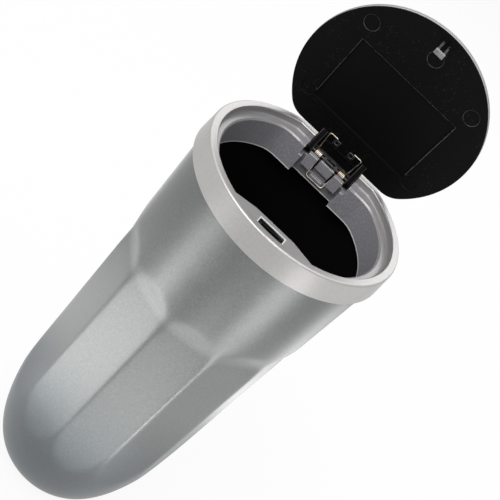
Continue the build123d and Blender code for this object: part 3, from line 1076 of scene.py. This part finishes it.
@dataclass
class HingeSpring:
    """Double torsion spring: the loop stays with the bin, the legs go with the lid, and the coils
    stay where they are built.
    """

    wire: float = 0.5
    sides: int = 10
    coil_radius: float = 1.5
    turns: int = 5
    points_per_turn: int = 28
    coil_start: float = 4.35
    coil_end: float = 7.1
    foot_y: float = 29.9
    foot_z: float = 166.2
    leg_length: float = 9.5
    leg_hook: float = 3.6
    bend: float = 0.8

    def arm_angle(self) -> float:
        """Find where the loop's arm leaves the coil.

        The arm is the tangent from its foot, so the angle is the foot's own angle plus the
        one whose cosine is the coil's radius over the foot's distance.

        Returns:
            The angle about the pin.
        """
        drop = self.foot_z - HINGE_Z
        back = self.foot_y - HINGE_Y
        return math.atan2(drop, back) + math.acos(self.coil_radius / math.hypot(drop, back))

    def coil_line(self) -> tuple[np.ndarray, np.ndarray]:
        """Helix round the pin, from the loop's arm to the leg.

        Returns:
            Points along the helix, and its direction at each of them.
        """
        share = np.linspace(0.0, 1.0, self.points_per_turn * self.turns)
        first = self.arm_angle()
        sweep = math.radians(90.0 - OPEN_DEG + 360.0 * self.turns) - first
        angle = first + sweep * share
        length = self.coil_end - self.coil_start
        x = self.coil_start + length * share
        y = HINGE_Y + self.coil_radius * np.cos(angle)
        z = HINGE_Z + self.coil_radius * np.sin(angle)
        rise = np.full_like(share, length / (self.coil_radius * sweep))
        way = np.stack([rise, -np.sin(angle), np.cos(angle)], axis=-1)
        return np.stack([x, y, z], axis=-1), unit(way)

    def piece(self, name: str, line: np.ndarray, across: np.ndarray) -> bpy.types.Object:
        """Make one length of the spring's wire, which stands for the CAD spring.

        Args:
            name: the piece's name.
            line: points of the wire's middle, in millimetres.
            across: a direction that the line never runs along.

        Returns:
            The new piece.
        """
        made = wire_mesh(name, line, across, self.wire / 2.0, self.sides)
        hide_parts("hinge_spring")
        return made

    def build(self) -> None:
        """Make the loop, the two coils and the two legs, and put the loop and the legs on their
        bodies.
        """
        coil, way = self.coil_line()
        along_pin = np.array([1.0, 0.0, 0.0])
        leave = -way[0]
        arm_foot = coil[0] + leave * (self.foot_z - coil[0][2]) / leave[2]
        middle = arm_foot * np.array([0.0, 1.0, 1.0])
        half_loop = bent_line(middle, arm_foot, coil[0], self.bend)
        mirror = np.array([-1.0, 1.0, 1.0])
        loop = np.concatenate([half_loop[:0:-1] * mirror, half_loop])
        lead = way[-1]
        leg_bend = coil[-1] + lead * self.leg_length
        leg_end = leg_bend - along_pin * self.leg_hook
        leg = bent_line(coil[-1], leg_bend, leg_end, self.bend)
        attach(self.piece("spring_loop", loop, np.cross(along_pin, leave)), "bin")
        for side, flip in (("left", mirror), ("right", np.ones(3))):
            wound = self.piece(f"spring_coil_{side}", coil * flip, along_pin)
            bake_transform(wound)
            square = np.cross(lead * flip, along_pin)
            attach(self.piece(f"spring_leg_{side}", leg * flip, square), "lid")


@dataclass
class LatchSpring:
    """Compression spring under the latch slider, which shortens as the slider goes down."""

    wire: float = 0.4
    sides: int = 8
    radius: float = 1.5
    turns: int = 5
    points_per_turn: int = 20
    foot_z: float = 161.45
    head_z: float = 166.85
    travel: float = 2.8

    def build(self) -> None:
        """Make the helix about an upright line and put it on the bin's body."""
        share = np.linspace(0.0, 1.0, self.points_per_turn * self.turns)
        angle = 2.0 * math.pi * self.turns * share
        x = self.radius * np.cos(angle)
        y = LATCH_Y + self.radius * np.sin(angle)
        z = self.foot_z + (self.head_z - self.foot_z) * share
        line = np.stack([x, y, z], axis=-1)
        upright = np.array([0.0, 0.0, 1.0])
        coil = wire_mesh("latch_coil", line, upright, self.wire / 2.0, self.sides)
        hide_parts("latch_spring")
        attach(coil, "bin")
        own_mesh(coil)


@dataclass
class BodyShell:
    """The tapered body: round above, eleven flats below, and a domed foot."""

    flats: int = 11
    clock_deg: float = -6.1
    seam_z: float = 170.0
    seam_radius: float = 38.9
    seam_edge: float = 0.05
    flat_top_z: float = 122.8
    flat_top_radius: float = 37.6
    flat_end_radius: float = 22.0
    edge_round: float = 0.12
    dome_z: float = 60.0
    dome_radius: float = 36.7
    base_radius: float = 21.0
    floor: float = 2.2
    wall: float = 1.8
    inner_dome_z: float = 41.6
    inner_base_radius: float = 19.5
    neck_outer: float = 37.65
    neck_inner: float = 35.85
    neck_z: float = 174.2
    neck_foot_z: float = 161.9
    relief: float = 14.1
    relief_shrink: float = 0.998
    pole_radius: float = 0.5
    softness: float = 0.15
    scoop_softness: float = 0.4
    columns_per_flat: int = 26
    dome_rows: int = 60
    flat_rows: int = 26
    scoop_rows: int = 60
    scoop_reach: float = 11.0
    round_rows: int = 18
    row_gap: float = 2.0
    foot_rows: int = 8
    bowl_rows: int = 24
    floor_ring: float = 10.0
    soft_from: float = -6.0
    soft_to: float = 2.0

    def wall_radius(self, z: np.ndarray) -> np.ndarray:
        """Round outline: straight tapers above, a quarter of an ellipse for the dome.

        Args:
            z: heights.

        Returns:
            The radius at each height.
        """
        straight = np.interp(
            z,
            [self.dome_z, self.flat_top_z, self.seam_z],
            [self.dome_radius, self.flat_top_radius, self.seam_radius],
        )
        drop = np.clip((self.dome_z - z) / self.dome_z, 0.0, 1.0)
        dome = self.base_radius + (self.dome_radius - self.base_radius) * np.sqrt(1 - drop**2)
        return np.where(z < self.dome_z, dome, straight)

    def flat_distance(self, z: np.ndarray) -> np.ndarray:
        """Distance of a flat from the axis: a leaning line, then an arc that runs out.

        The arc touches the line at the flat's top, so its centre lies square to the line.
        The distance on it is the centre's, less the end radius times the root of one less
        the square of the rise.

        Args:
            z: heights.

        Returns:
            The distance at each height.
        """
        lean = (self.flat_top_radius - self.dome_radius) / (self.flat_top_z - self.dome_z)
        cosine = math.cos(math.pi / self.flats)
        line = cosine * (self.dome_radius + self.edge_round + lean * (z - self.dome_z))
        tilt = math.atan(cosine * lean)
        top = cosine * (self.flat_top_radius + self.edge_round)
        centre_r = top + self.flat_end_radius * math.cos(tilt)
        centre_z = self.flat_top_z - self.flat_end_radius * math.sin(tilt)
        rise = np.clip((z - centre_z) / self.flat_end_radius, 0.0, 1.0)
        arc = centre_r - self.flat_end_radius * np.sqrt(1.0 - rise**2)
        return np.where(z > self.flat_top_z, arc, line)

    def ring_angles(self) -> tuple[np.ndarray, np.ndarray]:
        """Angles round the body, closer together at the flats' edges.

        The place across a flat, from -1 to 1, is one and a half times the even step less
        half its cube, whose slope falls to 0 at both edges.

        Returns:
            The angle of every column, and its angle from the middle of its own flat.
        """
        step = np.linspace(-1.0, 1.0, self.columns_per_flat + 1)[:-1]
        spread = 1.5 * step - 0.5 * step**3
        half = math.pi / self.flats
        first = math.radians(-90.0 + self.clock_deg) + half
        middle = first + 2.0 * half * np.arange(self.flats)
        angle = (middle[:, None] + half * spread[None, :]).ravel()
        return angle, np.tile(half * spread, self.flats)

    def outline(self) -> tuple[np.ndarray, np.ndarray, np.ndarray]:
        """Profile from the foot's middle up the outside, over the neck and down inside.

        Returns:
            Radius and height of each row, and 1 where the row may be cut by the flats.
        """
        swing = np.linspace(0.0, math.pi / 2, self.dome_rows)
        top = self.flat_top_z
        gap = self.row_gap
        scoop_end = top + self.scoop_reach
        rise = np.concatenate(
            [
                self.dome_z * (1.0 - np.cos(swing)),
                np.linspace(self.dome_z + gap, top - gap, self.flat_rows),
                np.linspace(top - gap / 2.0, scoop_end, self.scoop_rows),
                np.linspace(scoop_end + gap, self.seam_z - self.seam_edge, self.round_rows),
                [self.seam_z],
            ]
        )
        outer_r = self.wall_radius(rise)
        foot_r = np.linspace(self.pole_radius, self.base_radius, self.foot_rows)[:-1]
        neck_r = np.array([self.neck_outer, self.neck_outer, self.neck_inner, self.neck_inner])
        neck_h = np.array([self.seam_z, self.neck_z, self.neck_z, self.neck_foot_z])
        cosine = math.cos(math.pi / self.flats)
        inner_mid = cosine * self.flat_top_radius - self.wall
        inner_low = cosine * self.dome_radius - self.wall
        fall = np.linspace(0.0, math.pi / 2, self.bowl_rows)
        depth = self.inner_dome_z - self.floor
        bowl_r = self.inner_base_radius + (inner_low - self.inner_base_radius) * np.cos(fall)
        bowl_z = self.inner_dome_z - depth * np.sin(fall)
        floor_r = [self.floor_ring, self.pole_radius]
        radius = np.concatenate([foot_r, outer_r, neck_r, [inner_mid], bowl_r, floor_r])
        height = np.concatenate(
            [np.zeros_like(foot_r), rise, neck_h, [self.flat_top_z], bowl_z, [self.floor] * 2]
        )
        cut = np.zeros_like(radius)
        cut[len(foot_r) : len(foot_r) + len(rise)] = 1.0
        return radius, height, cut

    def surface(self) -> tuple[np.ndarray, np.ndarray, np.ndarray]:
        """The whole skin as one grid of rings.

        A point's distance from the axis is the soft minimum of the round outline and of
        the two nearest flats, each flat being its distance divided by the cosine of the
        angle from its middle. The edge value is four times the product of the two flats'
        shares in it, so it is highest where both are equally near.

        Returns:
            Points in millimetres by ring and column, their edge values, and 1 for each
            ring of the painted outside.
        """
        radius, height, cut = self.outline()
        angle, off = self.ring_angles()
        flat = self.flat_distance(height)[:, None]
        half = math.pi / self.flats
        near = flat / np.cos(off)[None, :]
        beside = flat / np.cos(2.0 * half - np.abs(off))[None, :]
        round_wall = np.broadcast_to(radius[:, None], near.shape)
        stack = np.stack([round_wall, near, beside])
        least = stack.min(axis=0)
        near_top = [self.flat_top_z + self.soft_from, self.flat_top_z + self.soft_to]
        blend = np.interp(height, near_top, [self.softness, self.scoop_softness])[:, None]
        weight = np.exp(-(stack - least) / blend)
        total = weight.sum(axis=0)
        soft = least - blend * np.log(total)
        outside = cut[:, None] > 0.5
        distance = np.where(outside, np.minimum(soft, round_wall), round_wall)
        share = weight / total
        edge = np.where(outside, 4.0 * share[1] * share[2], 0.0)
        x = distance * np.cos(angle)[None, :]
        y = distance * np.sin(angle)[None, :]
        z = np.broadcast_to(height[:, None], x.shape).copy()
        behind = (np.abs(x) < self.relief) & (y > 0.0) & (z > self.seam_z)
        z[behind] = self.seam_z
        x[behind] *= self.relief_shrink
        y[behind] *= self.relief_shrink
        return np.stack([x, y, z], axis=-1), edge, cut

    def build(self) -> bpy.types.Object:
        """Make the mesh, dress it outside and inside, and put it on its body.

        Returns:
            The new piece.
        """
        points, edge, painted = self.surface()
        rows, columns = edge.shape
        mesh = ring_mesh("body_skin", points)
        stored = mesh.attributes.new("edge", "FLOAT", "POINT")
        stored.data.foreach_set("value", edge.ravel().astype(np.float32))
        seam_row = int(np.nonzero(painted)[0][-1]) + 1
        ring = np.append(np.repeat(np.arange(rows - 1), columns), [0, rows - 1])
        mesh.materials.append(material_of(Finish.BODY))
        mesh.materials.append(material_of(Finish.INSIDE))
        mesh.polygons.foreach_set("material_index", (ring > seam_row).astype(np.int32))
        mesh.update()
        mesh.validate()
        piece = put_in_scene("body_skin", mesh)
        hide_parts("body_shell")
        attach(piece, "bin")
        LOG.info("built body_skin with %d faces", len(mesh.polygons))
        return piece


@dataclass
class Fittings:
    """The solids that keep their CAD shape, with the finish of each."""

    wears: dict[str, Finish] = field(
        default_factory=lambda: {
            "collar": Finish.SILVER,
            "lid_cover": Finish.COVER,
            "lid_plate": Finish.LID,
            "latch_case": Finish.LATCH,
            "latch_slider": Finish.LATCH,
            "hinge_pin": Finish.PIN,
        }
    )

    def build(self) -> None:
        """Dress every solid."""
        for node, finish in self.wears.items():
            dress(node, finish)


def way_to(azimuth_deg: float, elevation_deg: float = 0.0) -> Vector:
    """Turn two angles into a direction from the bin.

    Args:
        azimuth_deg: 0 at the bin's front, turning towards +X.
        elevation_deg: height over the floor.

    Returns:
        The direction, of length 1.
    """
    azimuth = math.radians(azimuth_deg)
    elevation = math.radians(elevation_deg)
    level = math.cos(elevation)
    return Vector((math.sin(azimuth) * level, -math.cos(azimuth) * level, math.sin(elevation)))


def area_lamp(name: str, width: float, length: float, watts: float) -> bpy.types.Object:
    """Make a rectangular lamp.

    Args:
        name: the lamp's name.
        width, length: its sides.
        watts: its power.

    Returns:
        The lamp at the origin, facing down.
    """
    lamp = bpy.data.lights.new(name, "AREA")
    lamp.shape = "RECTANGLE"
    lamp.size = width
    lamp.size_y = length
    lamp.energy = watts
    return put_in_scene(name, lamp)


@dataclass
class SoftBox:
    """One studio lamp: a large panel aimed at the bin."""

    name: str
    azimuth_deg: float
    elevation_deg: float
    distance: float
    width: float
    height: float
    watts: float

    def build(self, target: Vector) -> None:
        """Hang the lamp and aim it.

        Args:
            target: point that the panel faces.
        """
        way = way_to(self.azimuth_deg, self.elevation_deg)
        holder = area_lamp(self.name, self.width, self.height, self.watts)
        holder.location = target + way * self.distance
        holder.rotation_euler = way.to_track_quat("Z", "Y").to_euler()


@dataclass
class FloorPanel:
    """A dim panel lying on the floor, which the satin paint shows as a soft band."""

    name: str
    azimuth_deg: float
    radius: float
    width: float
    length: float
    glow: float
    above_floor: float = 0.001

    def build(self, receivers: bpy.types.Collection | None) -> None:
        """Lay the panel face up, with its length pointing at the bin.

        Args:
            receivers: the only pieces that the panel lights, or none to light all.
        """
        way = way_to(self.azimuth_deg)
        down = Vector((0.0, 0.0, -1.0))
        watts = self.glow * math.pi * self.width * self.length
        holder = area_lamp(self.name, self.width, self.length, watts)
        turned = Matrix((way.cross(down), way, down)).transposed().to_4x4()
        turned.translation = way * self.radius - down * self.above_floor
        holder.matrix_world = turned
        holder.visible_camera = False
        if receivers:
            holder.light_linking.receiver_collection = receivers


@dataclass
class Studio:
    """White floor, soft lamps and the camera at the photograph's angle."""

    azimuth_deg: float = -1.55
    elevation_deg: float = 33.97
    roll_deg: float = 44.49
    rim_in_view: tuple[float, float, float] = (19.76, -20.52, 335.76)
    lens: float = 72.0
    sensor: float = 36.0
    clip_start: float = 0.01
    floor_half: float = 6.0
    floor_white: float = 0.9
    floor_roughness: float = 0.9
    floor_glow: float = 0.9
    world_level: float = 0.35
    aim_share: float = 0.6
    lamps: list[SoftBox] = field(
        default_factory=lambda: [
            SoftBox("key_box", -35.0, 55.0, 0.9, 0.6, 0.6, 4.0),
            SoftBox("top_box", 10.0, 84.0, 0.9, 1.4, 1.4, 5.0),
            SoftBox("back_box", 178.0, 38.0, 0.9, 0.9, 0.6, 2.4),
        ]
    )
    near_panels: list[FloorPanel] = field(
        default_factory=lambda: [
            FloorPanel("left_near_panel", -39.0, 0.145, 0.075, 0.13, 4.0),
            FloorPanel("left_edge_panel", -70.0, 0.12, 0.04, 0.1, 1.0),
            FloorPanel("front_edge_panel", -9.0, 0.12, 0.03, 0.1, 0.8),
            FloorPanel("right_edge_panel", 51.0, 0.125, 0.026, 0.085, 6.5),
            FloorPanel("right_near_panel", 85.0, 0.15, 0.07, 0.1, 0.6),
            FloorPanel("front_panel", 18.0, 0.135, 0.06, 0.13, 2.4),
            FloorPanel("left_side_panel", -99.0, 0.13, 0.08, 0.09, 1.0),
            FloorPanel("right_side_panel", 125.0, 0.2, 0.1, 0.18, 1.6),
            FloorPanel("back_panel", 172.0, 0.18, 0.1, 0.2, 2.4),
            FloorPanel("back_side_panel", -152.0, 0.18, 0.08, 0.2, 1.2),
        ]
    )
    far_panels: list[FloorPanel] = field(
        default_factory=lambda: [
            FloorPanel("left_panel", -44.0, 0.255, 0.09, 0.09, 3.6),
            FloorPanel("right_panel", 52.0, 0.26, 0.1, 0.12, 6.0),
            FloorPanel("left_far_panel", -80.0, 0.4, 0.3, 0.1, 0.45),
            FloorPanel("right_far_panel", 90.0, 0.4, 0.4, 0.1, 0.9),
        ]
    )

    def camera_axes(self) -> np.ndarray:
        """Work out how the camera is turned.

        Returns:
            Its right, down and forward axes in the part's frame, one in each row.
        """
        roll = math.radians(self.roll_deg)
        back = np.array(way_to(self.azimuth_deg, self.elevation_deg))
        right = np.cross((0.0, 0.0, 1.0), back)
        right /= np.linalg.norm(right)
        up = np.cross(back, right)
        axes = np.array([right, -up, -back])
        cosine = math.cos(roll)
        sine = math.sin(roll)
        spin = np.array([[cosine, -sine, 0.0], [sine, cosine, 0.0], [0.0, 0.0, 1.0]])
        return spin @ axes

    def place_camera(self) -> None:
        """Set the camera where the rim's middle falls at its place in the photograph."""
        axes = self.camera_axes()
        spot = np.array([0.0, 0.0, RIM_Z]) - axes.T @ np.array(self.rim_in_view)
        columns = np.array([axes[0], -axes[1], -axes[2]]).T
        matrix = Matrix(columns.tolist()).to_4x4()
        matrix.translation = Vector((spot * MM).tolist())
        lens = bpy.data.cameras.new("photo_camera")
        lens.lens = self.lens
        lens.sensor_width = self.sensor
        lens.clip_start = self.clip_start
        camera = put_in_scene("photo_camera", lens)
        camera.matrix_world = matrix
        bpy.context.scene.camera = camera

    def lay_floor(self) -> None:
        """Lay a large white floor that shows white to the camera but keeps the shadow."""
        half = self.floor_half
        mesh = bpy.data.meshes.new("floor")
        corners = [(-half, -half, 0.0), (half, -half, 0.0), (half, half, 0.0), (-half, half, 0.0)]
        mesh.from_pydata(corners, [], [(0, 1, 2, 3)])
        graph = Graph("floor_white")
        graph.fix("Base Color", (self.floor_white, self.floor_white, self.floor_white, 1.0))
        graph.fix("Roughness", self.floor_roughness)
        graph.fix("Specular IOR Level", 0.0)
        graph.glow_to_viewer(self.floor_glow)
        mesh.materials.append(graph.material)
        put_in_scene("floor", mesh)

    def build(self, body: bpy.types.Object) -> None:
        """Set up the floor, the lamps, the world and the camera.

        Args:
            body: the painted body, which alone shows the panels near its foot.
        """
        bpy.context.scene.view_settings.view_transform = "Standard"
        self.place_camera()
        self.lay_floor()
        Surroundings("studio_white", self.world_level)
        target = Vector((0.0, 0.0, RIM_Z * MM * self.aim_share))
        for lamp in self.lamps:
            lamp.build(target)
        near = bpy.data.collections.new("near_panels_light")
        near.objects.link(body)
        for panel in self.near_panels:
            panel.build(near)
        for panel in self.far_panels:
            panel.build(None)


def main() -> None:
    """Build the bin's looks in order and report each piece."""
    logging.basicConfig(level=logging.INFO, format="%(name)s %(message)s")
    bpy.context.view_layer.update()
    Studio().build(BodyShell().build())
    Fittings().build()
    HingeSpring().build()
    LatchSpring().build()


if __name__ == "__main__":
    main()
